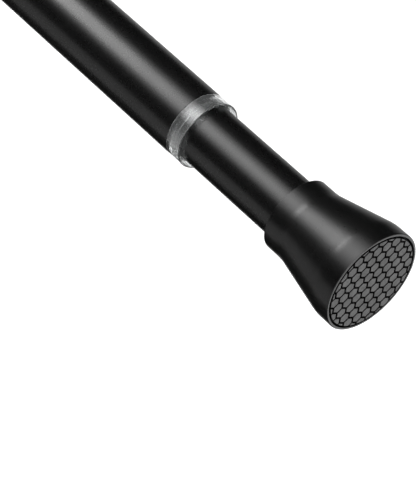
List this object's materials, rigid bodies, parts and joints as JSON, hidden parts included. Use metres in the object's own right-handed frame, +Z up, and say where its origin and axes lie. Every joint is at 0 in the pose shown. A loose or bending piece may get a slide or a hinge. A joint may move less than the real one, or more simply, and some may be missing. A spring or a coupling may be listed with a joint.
{
  "type": "spring tension rod",
  "caption": "Black telescoping spring tension rod: thick middle tube, slimmer sliding tubes, clear guide rings, flared feet and grey honeycomb rubber pads.",
  "frame": {"origin": "middle of the left pad's face, where it bears on the left wall", "axes": "+X along the rod's axis to the right end, +Z up with the rod level"},
  "size_m": [0.4822, 0.0326, 0.0326],
  "materials": {
    "tube_paint": "satin black paint",
    "foot_plastic": "satin black moulding",
    "ring_clear": "clear smoky plastic",
    "pad_rubber": "matte grey rubber",
    "inner_plastic": "natural moulding",
    "steel": "bright zinc"
  },
  "bodies": {
    "fixed_end": {"left_pad": "pad_rubber", "left_foot": "foot_plastic", "left_foot_screw": "steel", "left_tube_plug": "inner_plastic", "left_tube": "tube_paint", "plunger_head": "inner_plastic", "spring": "steel"},
    "outer_body": {"outer_tube": "tube_paint", "left_ring": "ring_clear", "right_ring": "ring_clear", "spring_seat": "inner_plastic"},
    "slide_guide": {"guide_bush": "inner_plastic"},
    "moving_end": {"right_pad": "pad_rubber", "right_foot": "foot_plastic", "right_foot_screw": "steel", "right_tube_plug": "inner_plastic", "right_tube": "tube_paint", "lock_spindle": "inner_plastic", "lock_washer": "steel", "lock_screw": "steel"},
    "lock_collar": {"lock_cam": "inner_plastic"}
  },
  "joints": [
    {"name": "spring_slide", "type": "slide", "parent": "fixed_end", "child": "outer_body", "axis": [1, 0, 0], "range_m": [-0.028, 0], "stiffness_N_per_m": 1500, "springref_m": 0.01, "deforming": ["spring"]},
    {"name": "telescope_slide", "type": "slide", "parent": "outer_body", "child": "slide_guide", "axis": [1, 0, 0], "range_m": [-0.038, 0.132]},
    {"name": "twist_lock", "type": "hinge", "parent": "slide_guide", "child": "moving_end", "pos_m": [0.2456, 0, 0], "axis": [1, 0, 0], "range_deg": [-45, 45]},
    {"name": "cam_turn", "type": "hinge", "parent": "moving_end", "child": "lock_collar", "pos_m": [0.235, 0, 0.0006], "axis": [1, 0, 0], "range_deg": [-45, 45]}
  ],
  "couplings": [
    {"joint": "cam_turn", "follows": "twist_lock", "ratio": -1}
  ]
}
